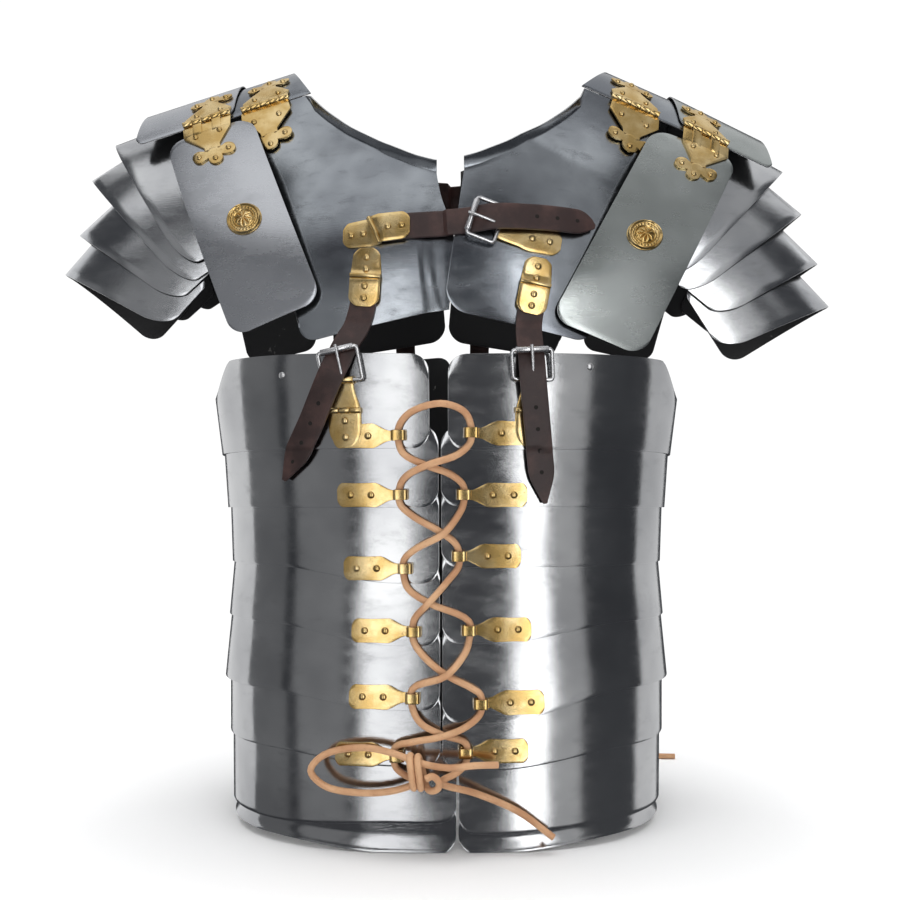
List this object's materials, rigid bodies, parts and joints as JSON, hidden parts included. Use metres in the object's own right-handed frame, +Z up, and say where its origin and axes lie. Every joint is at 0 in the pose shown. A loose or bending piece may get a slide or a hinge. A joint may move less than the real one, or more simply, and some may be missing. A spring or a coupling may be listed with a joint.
{
  "type": "laminated plate armour",
  "caption": "Laminated steel body armour of overlapping girth hoops, chest and back plates, hinged shoulder guards and arm lames, laced and buckled with leather.",
  "frame": {"origin": "on the floor under the middle of the armour, which stands on the lower rim of its girth", "axes": "+X to the right as the front is looked at, +Y towards the back, +Z up; the front faces -Y"},
  "size_m": [0.7193, 0.3463, 0.686],
  "materials": {
    "steel": "satin, polished in places, with grey smears",
    "brass": "polished, with grinding scratches",
    "strap_leather": "semi-gloss dark brown",
    "lace_leather": "matt tan",
    "bright_wire": "bright nickel"
  },
  "bodies": {
    "armour": {"left_hoop_1": "steel", "left_hoop_2": "steel", "left_hoop_3": "steel", "left_hoop_4": "steel", "left_hoop_5": "steel", "left_hoop_6": "steel", "left_hoop_7": "steel", "left_hoop_8": "steel", "left_breastplate": "steel", "left_back_plate": "steel", "left_collar": "steel", "left_guard_top": "steel", "left_arm_lame_1": "steel", "left_arm_lame_2": "steel", "left_arm_lame_3": "steel", "left_arm_lame_4": "steel", "right_hoop_1": "steel", "right_hoop_2": "steel", "right_hoop_3": "steel", "right_hoop_4": "steel", "right_hoop_5": "steel", "right_hoop_6": "steel", "right_hoop_7": "steel", "right_hoop_8": "steel", "right_breastplate": "steel", "right_back_plate": "steel", "right_collar": "steel", "right_guard_top": "steel", "right_arm_lame_1": "steel", "right_arm_lame_2": "steel", "right_arm_lame_3": "steel", "right_arm_lame_4": "steel", "left_collar_hinge_front": "brass", "left_collar_hinge_back": "brass", "left_guard_hinge_front": "brass", "left_guard_hinge_back": "brass", "left_strap_fitting": "brass", "right_collar_hinge_front": "brass", "right_collar_hinge_back": "brass", "right_guard_hinge_front": "brass", "right_guard_hinge_back": "brass", "right_strap_fitting": "brass", "left_chest_fitting": "brass", "left_arm_leather": "strap_leather", "left_front_strap": "strap_leather", "left_back_strap": "strap_leather", "right_arm_leather": "strap_leather", "right_front_strap": "strap_leather", "right_back_strap": "strap_leather", "chest_strap": "strap_leather", "back_neck_strap": "strap_leather", "left_front_buckle": "bright_wire", "right_front_buckle": "bright_wire", "chest_buckle": "bright_wire", "front_lace": "lace_leather", "back_lace": "lace_leather"},
    "left_guard_front": {"left_guard_front": "steel"},
    "left_guard_back": {"left_guard_back": "steel"},
    "right_guard_front": {"right_guard_front": "steel"},
    "right_guard_back": {"right_guard_back": "steel"}
  },
  "joints": [
    {"name": "left_guard_front_hinge", "type": "hinge", "parent": "armour", "child": "left_guard_front", "pos_m": [-0.211, -0.07153, 0.621], "axis": [-0.9503, 0, -0.3113], "range_deg": [0, 80]},
    {"name": "left_guard_back_hinge", "type": "hinge", "parent": "armour", "child": "left_guard_back", "pos_m": [-0.211, 0.07153, 0.621], "axis": [0.9503, 0, 0.3113], "range_deg": [0, 80]},
    {"name": "right_guard_front_hinge", "type": "hinge", "parent": "armour", "child": "right_guard_front", "pos_m": [0.229, -0.07153, 0.60824], "axis": [-0.8966, 0, 0.4428], "range_deg": [0, 80]},
    {"name": "right_guard_back_hinge", "type": "hinge", "parent": "armour", "child": "right_guard_back", "pos_m": [0.229, 0.07153, 0.60824], "axis": [0.8966, 0, -0.4428], "range_deg": [0, 80]}
  ]
}
